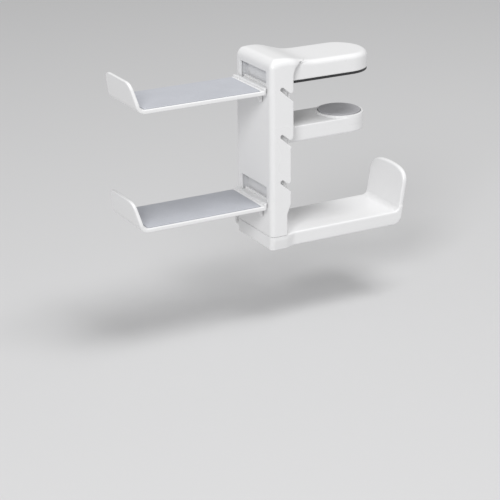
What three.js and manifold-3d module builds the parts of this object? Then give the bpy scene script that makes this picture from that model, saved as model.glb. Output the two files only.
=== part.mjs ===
// Desk-clamp headphone hook with two lift-off controller trays.
// Millimetres. +X right (seen from the tray side), +Y rearward over the desk, +Z up.
// Parts are laid out with z = 0 at the underside of the hook and y = 0 at the front
// face of the post. One group then moves everything so that the origin lies near the
// middle of the top pad's clamping face.
import * as THREE from 'three';
import { mergeVertices } from 'three/addons/utils/BufferGeometryUtils.js';
import Module from 'manifold-3d';

const wasm = await Module();
wasm.setup();

// ---------------------------------------------------------------- dimensions
// HALF is half a width in X, Z0 and Z1 are lower and upper edges, R is a radius.
const GAP = 0.3;               // clearance between separate pieces
const ORIGIN_Y = 53;           // post face to the origin
const DESK_Z = 118;            // desk top surface, the top pad's clamping face
const DESK_THICK = 30;         // desk thickness held in the rest position

const POST_HALF = 25.75;
const POST_TOP = 137.5;        // upper limit of the cap
const POST_R = 3.6;            // post's front vertical corners
const WALL = 2.2;              // housing wall
const UPPER_DEPTH = 18;        // post depth beside the desk
const LOWER_DEPTH = 16;        // post depth below the second cable slot
const FOOT_DEPTH = 13.1;       // post depth at the foot
const SEAM_Z = 10;             // joint between housing and hook base
const HOUSING_Z0 = SEAM_Z + GAP / 2;
const HOOK_BASE_Z1 = SEAM_Z - GAP / 2;
const POST_IN_HALF = POST_HALF - WALL;

const ARM_HALF = 20.7;
const ARM_TIP = 89.3;          // reach of the top arm
const ARM_Z0 = 119.8;          // lower edge of the arm's side wall
const ARM_Z1 = 132.2;
const ARM_WALL = 2.4;
const ARM_IN_HALF = ARM_HALF - ARM_WALL;
const ARM_IN_TIP = ARM_TIP - ARM_WALL;

const WINDOW_HALF = 18.5;      // tray windows in the front wall
const WINDOW_Z0 = 114.3;
const WINDOW_Z1 = 128.5;
// [name, height offset] of the two tray positions
const LEVELS = [['upper', 0], ['lower', -83]];

// Screws and the holes they sit in
const SHAFT_R = 1.1;
const PILOT_R = 1.35;          // blind hole in a boss
const CLEAR_R = 1.5;           // through hole in the fastened piece
const BOSS_X = 20.3;
const COVER_SEATS = [
  { name: 'upper_left', x: -BOSS_X, z: 96, depth: UPPER_DEPTH },
  { name: 'upper_right', x: BOSS_X, z: 96, depth: UPPER_DEPTH },
  { name: 'lower_left', x: -BOSS_X, z: 60, depth: LOWER_DEPTH },
  { name: 'lower_right', x: BOSS_X, z: 60, depth: LOWER_DEPTH },
];
const PLATE_SEATS = [['front', 34], ['rear', 76]];   // [name, y]
const HOOK_SEATS = [['left', -15], ['right', 15]];   // [name, x]
const HOOK_SCREW_Y = 6.5;
const JAW_SEATS = [['left', -6], ['right', 6]];      // [name, x]
const JAW_SCREW_Z = 80.4;

// ---------------------------------------------------------------- outlines
// count + 1 points on an arc; angles in degrees
const arc = (cx, cy, radius, from, to, count = 6) =>
  Array.from({ length: count + 1 }, (_, i) => {
    const angle = ((from + ((to - from) * i) / count) * Math.PI) / 180;
    return [cx + radius * Math.cos(angle), cy + radius * Math.sin(angle)];
  });

// Closes a right-hand outline (x >= 0) with its mirror image.
const mirrored = (right) => [
  ...right,
  ...right.filter(([x]) => x > 0).reverse().map(([x, other]) => [-x, other]),
];

// plan of a block with its own corner radii at front and rear
const rounded = (half, y0, y1, frontR, rearR, count = 6) => mirrored([
  ...arc(half - frontR, y0 + frontR, frontR, 270, 360, count),
  ...arc(half - rearR, y1 - rearR, rearR, 0, 90, count),
]);

// plan of an arm with a half-round rear end
const stadium = (half, y0, tip, count = 14) =>
  [[-half, y0], [half, y0], ...arc(0, tip - half, half, 0, 180, count)];

// (x, z) section with rounded top corners
const archFace = (half, top, radius, z0) =>
  mirrored([[half, z0], ...arc(half - radius, top - radius, radius, 0, 90)]);

// ---------------------------------------------------------------- solids
const toManifold = (vertices, triangles) => new wasm.Manifold(new wasm.Mesh({
  numProp: 3,
  vertProperties: new Float32Array(vertices),
  triVerts: new Uint32Array(triangles),
}));

const solid = (geometry) => {
  geometry.deleteAttribute('normal');
  geometry.deleteAttribute('uv');
  const merged = mergeVertices(geometry, 1e-4);
  return toManifold(merged.attributes.position.array, merged.index.array);
};

const toShape = (outline) => new THREE.Shape(outline.map(([a, b]) => new THREE.Vector2(a, b)));
const extrude = (outline, depth) =>
  new THREE.ExtrudeGeometry(toShape(outline), { depth, bevelEnabled: false });

// outline in (x, y)
const alongZ = (outline, z0, z1) => solid(extrude(outline, z1 - z0).translate(0, 0, z0));

// outline in (y, z)
const alongX = (outline, x0, x1) => {
  const turn = new THREE.Matrix4().set(0, 0, 1, x0, 1, 0, 0, 0, 0, 1, 0, 0, 0, 0, 0, 1);
  return solid(extrude(outline, x1 - x0).applyMatrix4(turn));
};

// outline in (x, z)
const alongY = (outline, y0, y1) => {
  const turn = new THREE.Matrix4().set(1, 0, 0, 0, 0, 0, -1, y1, 0, 1, 0, 0, 0, 0, 0, 1);
  return solid(extrude(outline, y1 - y0).applyMatrix4(turn));
};

const box = (x0, x1, y0, y1, z0, z1) => solid(
  new THREE.BoxGeometry(x1 - x0, y1 - y0, z1 - z0)
    .translate((x0 + x1) / 2, (y0 + y1) / 2, (z0 + z1) / 2));
// box centred on x = 0
const slab = (half, y0, y1, z0, z1) => box(-half, half, y0, y1, z0, z1);

const cylZ = (x, y, radius, z0, z1, sides = 24) => solid(
  new THREE.CylinderGeometry(radius, radius, z1 - z0, sides)
    .rotateX(Math.PI / 2).translate(x, y, (z0 + z1) / 2));
const cylY = (x, z, radius, y0, y1, sides = 20) => solid(
  new THREE.CylinderGeometry(radius, radius, y1 - y0, sides).translate(x, (y0 + y1) / 2, z));

// profile of [radius, z], turned round Z
const lathe = (profile, sides) => solid(
  new THREE.LatheGeometry(profile.map(([r, z]) => new THREE.Vector2(r, z)), sides)
    .rotateX(Math.PI / 2));

const union = (...parts) => parts.reduce((a, b) => a.add(b));

// Skins rows of [y, (x, z) outline], each outline convex and counter-clockwise seen
// from the front, and closes both ends.
const loftY = (rows) => {
  const count = rows[0][1].length;
  const lastRow = (rows.length - 1) * count;
  const vertices = rows.flatMap(([y, outline]) => outline.flatMap(([x, z]) => [x, y, z]));
  const triangles = [];
  for (let row = 0; row < lastRow; row += count) {
    for (let i = 0; i < count; i++) {
      const here = row + i;
      const next = row + ((i + 1) % count);
      triangles.push(here, next + count, next, here, here + count, next + count);
    }
  }
  for (let i = 1; i + 1 < count; i++) {
    triangles.push(0, i, i + 1, lastRow, lastRow + i + 1, lastRow + i);
  }
  return toManifold(vertices, triangles);
};

// Pan-head screw along +Z, head at the bottom, with a cross recess.
const screw = ({ length, headR, headHeight }) => {
  const crossHalf = headR * 0.62;
  const slotHalf = 0.35;
  return lathe([[0, 0], [headR - 0.4, 0], [headR, 0.5], [headR, headHeight],
    [SHAFT_R, headHeight], [SHAFT_R, length - 0.8], [0, length]], 20)
    .subtract(slab(slotHalf, -crossHalf, crossHalf, -1, 0.8))
    .subtract(slab(crossHalf, -slotHalf, slotHalf, -1, 0.8));
};

// ---------------------------------------------------------------- materials and scene
const MATERIALS = {
  white: { color: 0xf2f2f1, roughness: 0.32, metalness: 0 },   // outer mouldings
  inner: { color: 0xe2e3e4, roughness: 0.5, metalness: 0 },    // mouldings inside the post
  mat: { color: 0xbfc3ca, roughness: 0.85, metalness: 0 },     // tray mats
  padgrey: { color: 0x9c9ca0, roughness: 0.9, metalness: 0 },  // jaw pad
  dark: { color: 0x26262a, roughness: 0.85, metalness: 0 },    // top pad
  steel: { color: 0xb4b7bb, roughness: 0.3, metalness: 1 },    // screws, rods, springs
};

const root = new THREE.Group();
const model = new THREE.Group();
model.position.set(0, -ORIGIN_Y, -DESK_Z);
root.add(model);

const put = (parent, name, manifold, material) => {
  const { vertProperties, triVerts } = manifold.getMesh();
  const geometry = new THREE.BufferGeometry();
  geometry.setAttribute('position',
    new THREE.BufferAttribute(new Float32Array(vertProperties), 3));
  geometry.setIndex(new THREE.BufferAttribute(new Uint32Array(triVerts), 1));
  geometry.computeVertexNormals();
  const mesh = new THREE.Mesh(geometry, new THREE.MeshStandardMaterial(MATERIALS[material]));
  mesh.name = name;
  parent.add(mesh);
};

// ---------------------------------------------------------------- cable slots
// A narrow neck sloping down to the rear, with a round inner end; the tooth above it
// has a round nose.
const SLOT_R = 1.4;
const NOSE_R = 2.2;
const SLOT_ANGLE = 41;
const SLOT_END_Y = 8.9;        // centre of the round inner end
// [height, post depth there]
const SLOTS = [[116, UPPER_DEPTH], [82.4, UPPER_DEPTH - 0.4], [49.4, LOWER_DEPTH]];

const slotOutline = (height, depth) => {
  const slope = (SLOT_ANGLE * Math.PI) / 180;
  const endZ = height + 0.3;
  const middle = (y) => endZ - Math.tan(slope) * (y - SLOT_END_Y);
  const mouthY = depth + 4;
  const noseY = depth - NOSE_R;
  const noseZ = middle(noseY) + (SLOT_R + NOSE_R) / Math.cos(slope);
  return [
    ...arc(SLOT_END_Y, endZ, SLOT_R, 90 - SLOT_ANGLE, 270 - SLOT_ANGLE, 8),
    [mouthY, middle(mouthY) - SLOT_R / Math.cos(slope)], [mouthY, noseZ], [depth, noseZ],
    ...arc(noseY, noseZ, NOSE_R, 0, -90 - SLOT_ANGLE, 8).slice(1),
  ];
};
const cableSlots = union(...[[20, 28], [-28, -20]].flatMap(([x0, x1]) =>
  SLOTS.map(([height, depth]) => alongX(slotOutline(height, depth), x0, x1))));

// ---------------------------------------------------------------- housing
// crown line of the cap and arm: [y, z]
const CROWN = [
  [0, 130.2], [0.5, 132.5], [1.9, 134.6], [4, 136.2], [7, 137.1], [11, 137.4],
  [16, 137], [21, 135.9], [26, 134.4], [31, 133], [37, 132.3], [46, ARM_Z1],
  [ARM_TIP - 16, ARM_Z1], [ARM_TIP - 6.6, 131.8], [ARM_TIP - 3.4, 130.8],
  [ARM_TIP - 1.3, 129.1], [ARM_TIP - 0.3, 127], [ARM_TIP, 124.8],
];
// underside of the arm and rear line of the post: [y, z]
const UNDERSIDE = [
  [ARM_TIP, ARM_Z0], [UPPER_DEPTH, ARM_Z0], [UPPER_DEPTH, 76], [LOWER_DEPTH, 72.8],
  [LOWER_DEPTH, 33], [FOOT_DEPTH, 25.3], [FOOT_DEPTH, HOUSING_Z0], [0, HOUSING_Z0],
];
// half width of the cap as it narrows from post to arm: [y, half width]
const CAP_HALF = [
  [0, POST_HALF], [18.2, POST_HALF], [20.4, 25.1], [22.8, 23.9], [25.6, 22.4],
  [28.6, 21.3], [32, ARM_HALF], [60, ARM_HALF],
];
// radius along the cap's top edges: [y, radius]
const CAP_EDGE_R = [[0, 5.5], [18.2, 5.5], [32, 3.9], [60, 3.8]];
const CAP_STATIONS = [0, 0.5, 1.9, 4, 7, 11, 16, 18.2, 20.4, 22.8, 25.6, 28.6, 32, 37];
// side view of the zone where the cap may flare out past the post and arm plans: [y, z]
const FLARE_SIDE = [
  [12, 124.8], [UPPER_DEPTH, 124.8], [18.7, 127.6], [19.8, 129.8], [21.6, 131.3],
  [24, 132.2], [28, 132.7], [33, 132.8], [38, 132.7], [38, 141], [12, 141],
];
// side view of the hollow in the arm: [y, z]
const ARM_HOLLOW_SIDE = [
  [0, 117], [0, 130], [ARM_TIP - 14, 130], [ARM_TIP - 10, 129], [ARM_TIP - 6, 127],
  [ARM_TIP - 3.6, 124.6], [ARM_IN_TIP, 122.2], [ARM_IN_TIP, 117],
];

// linear interpolation in a table of [y, value]
const valueAt = (y, table) => {
  const i = table.findIndex(([station], index) => index > 0 && y <= station);
  const [y0, value0] = table[i - 1];
  const [y1, value1] = table[i];
  return value0 + ((value1 - value0) * (y - y0)) / (y1 - y0);
};

const housingShell = () => {
  const side = alongX([...CROWN, ...UNDERSIDE], -POST_HALF, POST_HALF);
  const postPlan = alongZ(rounded(POST_HALF, 0, UPPER_DEPTH, POST_R, 0.8), 0, POST_TOP);
  const armPlan = alongZ(stadium(ARM_HALF, 10, ARM_TIP), ARM_Z0, POST_TOP);
  const post = side.intersect(postPlan)
    .intersect(alongY(archFace(POST_HALF, POST_TOP, 5.5, 0), -1, 60))
    .intersect(slab(30, -1, 60, 0, 119.5));
  const arm = side.intersect(armPlan)
    .intersect(alongY(archFace(ARM_HALF, ARM_Z1 + 0.1, 3.8, 0), 36.9, 100));
  const cap = loftY(CAP_STATIONS.map((y) => [y,
    archFace(valueAt(y, CAP_HALF), valueAt(y, CROWN), valueAt(y, CAP_EDGE_R), 119)]))
    .intersect(union(postPlan, armPlan, alongX(FLARE_SIDE, -POST_HALF, POST_HALF)));
  // behind the post, keep nothing between the post block and the arm's lower edge
  const keep = union(slab(30, -1, 100, 0, 119.5), slab(30, -1, 100, ARM_Z0, 150),
    slab(30, -1, UPPER_DEPTH, 119, 120));
  return union(post, cap, arm).intersect(keep);
};

const housingHollow = () => union(
  // open to the rear below the arm, closed by a wall above
  alongZ(rounded(POST_IN_HALF, WALL, 40, 2, 0.5, 3), 0, 119.4),
  alongZ(rounded(POST_IN_HALF, WALL, UPPER_DEPTH - WALL, 2, 0.5, 3), 119, 131.4),
  alongZ(stadium(ARM_IN_HALF, WALL + 2, ARM_IN_TIP), 118, 131)
    .intersect(alongX(ARM_HOLLOW_SIDE, -30, 30)),
);

const makeHousing = () => {
  let housing = housingShell().subtract(housingHollow());
  // tray windows, and the detent holes under each
  for (const [, offset] of LEVELS) {
    housing = housing.subtract(
      slab(WINDOW_HALF, -1, 4, WINDOW_Z0 + offset, WINDOW_Z1 + offset));
    for (const x of [-12, 12]) {
      housing = housing.subtract(cylY(x, WINDOW_Z0 - 2.6 + offset, 0.9, -1, 4, 16));
    }
  }
  housing = housing.subtract(cableSlots);
  // bosses for the rear cover, the hook base and the arm's underplate
  for (const { x, z } of COVER_SEATS) {
    housing = housing.add(cylY(x, z, 2.6, 1.2, 13.7))
      .subtract(cylY(x, z, PILOT_R, 5.4, 14.5, 16));
  }
  for (const [, x] of HOOK_SEATS) {
    housing = housing.add(box(x - 2.6, x + 2.6, 1.2, HOOK_SCREW_Y, HOUSING_Z0, 22))
      .add(cylZ(x, HOOK_SCREW_Y, 3, HOUSING_Z0, 22))
      .subtract(cylZ(x, HOOK_SCREW_Y, PILOT_R, 9, 20, 16));
  }
  for (const [, y] of PLATE_SEATS) {
    housing = housing.add(cylZ(0, y, 3, 122.2, 130.6))
      .subtract(cylZ(0, y, PILOT_R, 121, 129, 16));
  }
  return housing;
};
put(model, 'housing', makeHousing(), 'white');

// ---------------------------------------------------------------- rear cover
// side view: inner face going down, outer face coming up: [y, z]
const COVER_Z1 = ARM_Z0 - 0.8;
const COVER_SIDE = [
  [14.2, COVER_Z1], [14.2, 36], [10.7, 28], [10.7, 10.5], [FOOT_DEPTH, 10.5],
  [FOOT_DEPTH, 25.3], [LOWER_DEPTH, 33], [LOWER_DEPTH, 72.8], [UPPER_DEPTH, 76],
  [UPPER_DEPTH, COVER_Z1],
];

const makeRearCover = () => {
  const half = POST_IN_HALF - GAP;
  // the opening lets the jaw travel
  let cover = alongX(COVER_SIDE, -half, half)
    .subtract(slab(14.6, 10, 20, 61.6, 98.2)).subtract(cableSlots);
  // flanges that close the cable slots from the inside, notched round the bosses
  for (const [x0, x1] of [[20.42, 21.9], [-21.9, -20.42]]) {
    cover = cover.add(box(x0, x1, 7.8, 14.8, 36.5, 118.1));
  }
  for (const { x, z, depth } of COVER_SEATS) {
    cover = cover.subtract(cylY(x, z, 2.95, 0, 13.95))
      .subtract(cylY(x, z, CLEAR_R, 10, 20, 16))
      .subtract(cylY(x, z, 2.5, depth - 1.9, 20));
  }
  return cover;
};
put(model, 'rear_cover', makeRearCover(), 'white');

const coverScrew = screw({ length: 10, headR: 2.2, headHeight: 1.6 }).rotate([90, 0, 0]);
for (const { name, x, z, depth } of COVER_SEATS) {
  put(model, `cover_screw_${name}`, coverScrew.translate([x, depth - 0.2, z]), 'steel');
}

// ---------------------------------------------------------------- top arm's underside
const makeUnderplate = () => {
  let plate = alongZ(stadium(ARM_IN_HALF - GAP, 16.3, ARM_IN_TIP - GAP), ARM_Z0, ARM_Z0 + 2);
  for (const [, y] of PLATE_SEATS) {
    plate = plate.subtract(cylZ(0, y, CLEAR_R, 119, 123, 16))
      .subtract(cylZ(0, y, 2.9, 119, ARM_Z0 + 0.9));
  }
  // two upright ribs
  for (const y of [40, 62]) plate = plate.add(slab(8, y, y + 1.6, ARM_Z0 + 1.5, 127));
  return plate;
};
put(model, 'arm_underplate', makeUnderplate(), 'white');

const plateScrew = screw({ length: 8.4, headR: 2.5, headHeight: 0.8 });
for (const [name, y] of PLATE_SEATS) {
  put(model, `underplate_screw_${name}`, plateScrew.translate([0, y, ARM_Z0 + 0.05]), 'steel');
}

const topPadPlan = stadium(ARM_HALF - 0.3, UPPER_DEPTH + 0.5, ARM_TIP - 0.3, 20);
put(model, 'top_pad', alongZ(topPadPlan, DESK_Z, ARM_Z0 - GAP), 'dark');

// ---------------------------------------------------------------- pockets behind the windows
const makePocket = () => {
  const rampZ1 = WINDOW_Z1 + 1.7;
  // side view of the sloping guide panel, from its lower edge up
  const ramp = (y0, z0) => [[6.8, z0], [y0, z0], [4.75, rampZ1], [6.8, rampZ1]];
  return slab(20.6, WALL + 0.25, 7.4, WINDOW_Z0 - 5.4, WINDOW_Z1 + 2.2)
    .subtract(slab(19.3, 0, 6.6, WINDOW_Z0 - 5, WINDOW_Z1 + 1.6))
    // the panel stops short of the left end in two steps
    .add(alongX(ramp(5.9, WINDOW_Z0 - 4.9), -14, 19.4))
    .add(alongX(ramp(5.35, WINDOW_Z0 + 6.4), -16.6, -13.9));
};
const pocket = makePocket();
for (const [name, offset] of LEVELS) {
  put(model, `pocket_${name}`, pocket.translate([0, 0, offset]), 'inner');
}

// ---------------------------------------------------------------- jaw guide
const ROD_X = 12;
const ROD_Y = 10.8;
const ROD_R = 1.8;
const ROD_LENGTH = 68.6;
const ROD_Z0 = 37.5;
const BRACKET_Z1 = 39.6;       // top of the lower rod bracket
const GUIDE_HALF = 15.7;       // brackets and jaw carriage
const GUIDE_Y0 = 7.8;
const JAW_Z0 = 74.4;           // lower edge of the jaw arm
const CARRIAGE_Z0 = JAW_Z0 - 2;

// block between z0 and z1, bored for both rods between hole0 and hole1
const guideBlock = (rearY, z0, z1, holeGap, hole0, hole1) => {
  let block = alongZ(rounded(GUIDE_HALF, GUIDE_Y0, rearY, 1, 1, 3), z0, z1);
  for (const x of [-ROD_X, ROD_X]) {
    block = block.subtract(cylZ(x, ROD_Y, ROD_R + holeGap, hole0, hole1));
  }
  return block;
};
put(model, 'rod_bracket_lower', guideBlock(13.9, 36.4, BRACKET_Z1, 0.05, 37.2, 41), 'inner');
put(model, 'rod_bracket_upper', guideBlock(13.9, 103.6, 107, 0.05, 102, 106.4), 'inner');

const makeRod = () => lathe([[0, 0], [ROD_R - 0.4, 0], [ROD_R, 0.4], [ROD_R, ROD_LENGTH - 0.4],
  [ROD_R - 0.4, ROD_LENGTH], [0, ROD_LENGTH]], 24);

// compression spring that pushes the jaw up, with a closed turn at each end
const makeSpring = () => {
  const coilR = 2.7;
  const wireR = 0.4;
  const turns = 8.5;
  const perTurn = 12;          // path points in a turn
  const endPitch = 0.85;       // rise of a closed turn
  const z0 = BRACKET_Z1 + 0.1 + wireR;
  const z1 = CARRIAGE_Z0 - 0.1 - wireR;
  const openPitch = (z1 - z0 - 2 * endPitch) / (turns - 2);
  const heightAt = (turn) => {
    if (turn < 1) return z0 + endPitch * turn;
    if (turn > turns - 1) return z1 - endPitch * (turns - turn);
    return z0 + endPitch + openPitch * (turn - 1);
  };
  const path = Array.from({ length: turns * perTurn + 1 }, (_, i) => {
    const turn = i / perTurn;
    const angle = 2 * Math.PI * turn;
    return new THREE.Vector3(
      coilR * Math.cos(angle), coilR * Math.sin(angle), heightAt(turn));
  });
  return solid(new THREE.ExtrudeGeometry(toShape(arc(0, 0, wireR, 0, 288, 4)), {
    steps: path.length - 1,
    bevelEnabled: false,
    extrudePath: new THREE.CatmullRomCurve3(path),
  }));
};

const guideRod = makeRod();
const spring = makeSpring();
for (const [name, x] of [['left', -ROD_X], ['right', ROD_X]]) {
  put(model, `guide_rod_${name}`, guideRod.translate([x, ROD_Y, ROD_Z0]), 'steel');
  put(model, `spring_${name}`, spring.translate([x, ROD_Y, 0]), 'steel');
}

// ---------------------------------------------------------------- jaw
const JAW_HALF = 17.3;         // half width of the jaw arm and radius of its end
const JAW_CENTRE_Y = 70;       // centre of the round jaw pad
const JAW_TIP = JAW_CENTRE_Y + JAW_HALF;
const JAW_Y0 = UPPER_DEPTH + 0.4;
const JAW_Z1 = 86;             // top of the jaw arm
const JAW_FACE_Z = DESK_Z - DESK_THICK;
const PAD_R = 15.2;
const PAD_SUNK = 0.95;         // depth of the pad's base below the arm's top

const makeJawArm = () => {
  const ribZ0 = JAW_Z0 + 2.5;
  const ribZ1 = JAW_Z1 - 2;
  // the lowest millimetre is stepped in all round, and the arm is hollow from below
  let arm = alongZ(stadium(JAW_HALF, JAW_Y0, JAW_TIP, 20), JAW_Z0 + 1, JAW_Z1)
    .add(alongZ(stadium(JAW_HALF - 0.8, JAW_Y0, JAW_TIP - 0.8, 20), JAW_Z0, JAW_Z0 + 1.1))
    .subtract(alongZ(stadium(JAW_HALF - 2.2, UPPER_DEPTH + 3, JAW_TIP - 2.2), 70, JAW_Z1 - 2.8));
  for (const y of [34, 52, 70]) arm = arm.add(slab(15.4, y - 0.8, y + 0.8, ribZ0, ribZ1));
  arm = arm.add(slab(0.8, UPPER_DEPTH + 2, 84.6, ribZ0, ribZ1));
  // raised rim round the pad
  arm = arm.add(cylZ(0, JAW_CENTRE_Y, JAW_HALF, JAW_Z1 - 0.2, JAW_Z1 + 1.2, 44))
    .subtract(cylZ(0, JAW_CENTRE_Y, PAD_R + GAP, JAW_Z1 - 1, 90, 40));
  // block that reaches through the cover to the carriage
  arm = arm.add(slab(14, 13.95, UPPER_DEPTH + 0.6, 75.4, 85.4));
  for (const [, x] of JAW_SEATS) {
    arm = arm.add(cylY(x, JAW_SCREW_Z, 2.6, UPPER_DEPTH + 1, 24))
      .subtract(cylY(x, JAW_SCREW_Z, PILOT_R, 13, 22.6, 16));
  }
  return arm;
};

const makeJawPad = () => {
  const height = JAW_FACE_Z - JAW_Z1 + PAD_SUNK;
  return lathe([[0, 0], [PAD_R, 0], [PAD_R, 2.4], [PAD_R - 0.5, height], [0, height]], 40)
    .translate([0, JAW_CENTRE_Y, JAW_Z1 - PAD_SUNK]);
};

const makeCarriage = () => {
  let carriage = guideBlock(13.65, CARRIAGE_Z0, 88.4, 0.15, 60, 100);
  for (const [, x] of JAW_SEATS) {
    carriage = carriage.subtract(cylY(x, JAW_SCREW_Z, CLEAR_R, 7, 15, 16))
      .subtract(cylY(x, JAW_SCREW_Z, 2.9, 7, 10.2));
  }
  return carriage;
};

const jaw = new THREE.Group();
model.add(jaw);
put(jaw, 'jaw_arm', makeJawArm(), 'white');
put(jaw, 'jaw_pad', makeJawPad(), 'padgrey');
put(jaw, 'jaw_carriage', makeCarriage(), 'inner');
const jawScrew = screw({ length: 13.2, headR: 2.5, headHeight: 1.8 }).rotate([-90, 0, 0]);
for (const [name, x] of JAW_SEATS) {
  put(jaw, `jaw_screw_${name}`, jawScrew.translate([x, 8.1, JAW_SCREW_Z]), 'steel');
}

// ---------------------------------------------------------------- headphone hook
const HOOK_HALF = 22.8;        // half width of the cradle
const FLOOR_END = 106;         // rear end of the cradle floor
const FLOOR_Z = 10.2;
const LIP_Z = 41.5;            // top of the cradle lip
const LIP_LEAN = 0.158;        // rearward lean of the lip per unit of height
const LIP_FOOT_Y = FLOOR_END + 2.4;
const LIP_TOP_Y = LIP_FOOT_Y + (LIP_Z - FLOOR_Z - 3) * LIP_LEAN;
const BASE_DEPTH = 13.4;
// side view: [y, z]
const HOOK_SIDE = [
  [1.4, 0], [0, 1.4], [0, HOOK_BASE_Z1], [BASE_DEPTH, HOOK_BASE_Z1], [BASE_DEPTH, FLOOR_Z],
  [FLOOR_END - 1, FLOOR_Z], [FLOOR_END + 0.7, FLOOR_Z + 0.5], [FLOOR_END + 1.9, FLOOR_Z + 1.6],
  [LIP_FOOT_Y, FLOOR_Z + 3], [LIP_TOP_Y, LIP_Z - 0.6], [LIP_TOP_Y + 1, LIP_Z],
  [LIP_TOP_Y + 2.6, LIP_Z], [LIP_TOP_Y + 3.5, LIP_Z - 0.9], [FLOOR_END + 5.2, 7.4],
  [FLOOR_END + 4.1, 4.2], [FLOOR_END + 2.2, 1.8], [FLOOR_END - 0.6, 0.4], [FLOOR_END - 3, 0],
];
// right half of the plan: [x, y]
const HOOK_PLAN = [[POST_HALF, 0], [POST_HALF, BASE_DEPTH], [HOOK_HALF, 20], [HOOK_HALF, 130]];
// right half of the front view: [x, z]
const HOOK_FACE = [
  [POST_HALF - 1, -1], [POST_HALF - 0.8, 1], [POST_HALF, 7], [POST_HALF, 11],
  [HOOK_HALF, 14], [HOOK_HALF, 29], [22.5, 31.8], [21.6, 34.6], [19.7, 37.2],
  [16.6, 39.3], [12, 40.7], [6, 41.35], [0, 41.6],
];
// cable clip on the left of the base, a J that opens upward: [x, z]
const CLIP_FACE = [
  [-24, 3], [-30.5, 3], [-31.9, 3.6], [-32.5, 5], [-32.5, 15], [-31.9, 16.4],
  [-30.8, 16.4], [-30.1, 15.6], [-30.5, 13.6], [-30.5, 6.4], [-29.7, 5.6], [-24, 5.6],
];

const makeHook = () => {
  const frontCorners = mirrored([
    ...arc(POST_HALF - POST_R, POST_R, POST_R, 270, 360), [POST_HALF, 140]]);
  // shell underside with cross ribs and one lengthwise rib
  let hollow = slab(20.6, 17, FLOOR_END - 3, -1, 7.4);
  for (const y of [38, 60, 82]) hollow = hollow.subtract(slab(21, y - 0.9, y + 0.9, 1, 9));
  hollow = hollow.subtract(slab(0.9, 10, 110, 1, 9));
  let hook = alongX(HOOK_SIDE, -POST_HALF, POST_HALF)
    .intersect(alongZ(mirrored(HOOK_PLAN), -1, 60))
    .intersect(alongY(mirrored(HOOK_FACE), -1, 130))
    .intersect(alongZ(frontCorners, -1, 60))
    .subtract(hollow)
    // locating tongue inside the housing
    .add(slab(10.5, 2.8, 9.8, SEAM_Z - 0.6, 17));
  for (const [, x] of HOOK_SEATS) {
    hook = hook.subtract(cylZ(x, HOOK_SCREW_Y, CLEAR_R, -1, 12, 16))
      .subtract(cylZ(x, HOOK_SCREW_Y, 3, -1, 4));
  }
  return hook.add(alongY(CLIP_FACE, 1.8, 7.6));
};
put(model, 'headphone_hook', makeHook(), 'white');

const hookScrew = screw({ length: 15.4, headR: 2.6, headHeight: 2 });
for (const [name, x] of HOOK_SEATS) {
  put(model, `hook_screw_${name}`, hookScrew.translate([x, HOOK_SCREW_Y, 1.6]), 'steel');
}

// ---------------------------------------------------------------- trays
// Laid out with z = 0 at the underside of the tray plate.
const TRAY_Z = 113.2;          // underside of the upper tray plate
const TRAY_HALF = 22.8;
const BEND_Y = -98.5;          // the tray's outer bend
const BAR_Y = -0.4;            // inner end of the plate, just clear of the post
// side view of the plate and its upturned lip: [y, z]
const TRAY_SIDE = [
  [BAR_Y, 0], [BAR_Y, 3], [BEND_Y + 4.6, 3], [BEND_Y + 3.1, 3.6], [BEND_Y + 2.2, 5],
  [BEND_Y - 1.6, 20.6], [BEND_Y - 2.3, 21.3], [BEND_Y - 3.5, 21.2], [BEND_Y - 4.1, 20.3],
  [BEND_Y - 0.2, 4.2], [BEND_Y + 0.9, 1.9], [BEND_Y + 2.6, 0.5], [BEND_Y + 4.8, 0],
];
// right half of the front view, the lip narrower at the top: [x, z]
const TRAY_FACE = [
  [TRAY_HALF, -8], [TRAY_HALF, 5.5], [22.2, 8], [19.7, 16.2], [18.4, 19],
  [16.2, 20.8], [13.4, 21.5],
];
// side view of a leg that bears on the face below the window: [y, z]
const LEG_SIDE = [[BAR_Y, 1], [-5.8, 1], [-4.8, -1], [-2.2, -6.7], [BAR_Y, -7.2]];

const makeTray = () => {
  const innerCorners = mirrored([
    [TRAY_HALF, -120], ...arc(TRAY_HALF - 4, BAR_Y - 4, 4, 0, 90, 5)]);
  let tray = alongX(TRAY_SIDE, -TRAY_HALF, TRAY_HALF)
    .intersect(alongY(mirrored(TRAY_FACE), -120, 10))
    // recess for the mat
    .subtract(alongZ(rounded(21, BEND_Y + 5.6, -5.2, 2, 1, 4), 2.2, 9))
    // raised bar at the inner end
    .add(slab(TRAY_HALF, -3.6, BAR_Y, 1, 4.6))
    .intersect(alongZ(innerCorners, -9, 30))
    // neck through the window and the flange that drops behind the wall
    .add(slab(17.6, -1, 3.2, 1.4, 3.8))
    .add(slab(17.6, WALL + 0.35, 4.3, -3.4, 5.4));
  // a fine groove across the bar on each side
  for (const x of [-14, 14]) {
    tray = tray.subtract(box(x - 0.35, x + 0.35, -5.2, -0.1, 3.3, 6));
  }
  for (const x of [-13, 13]) tray = tray.add(alongX(LEG_SIDE, x - 1.2, x + 1.2));
  return tray;
};

const makeTrayMat = () => alongZ(rounded(20.7, BEND_Y + 5.9, -5.5, 1.7, 0.7, 4), 2.25, 3.5);

const tray = makeTray();
const trayMat = makeTrayMat();
for (const [name, offset] of LEVELS) {
  const group = new THREE.Group();
  group.position.set(0, 0, TRAY_Z + offset);
  model.add(group);
  put(group, `tray_${name}`, tray, 'white');
  put(group, `tray_mat_${name}`, trayMat, 'mat');
}

root.updateMatrixWorld(true);
export default root;
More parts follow.
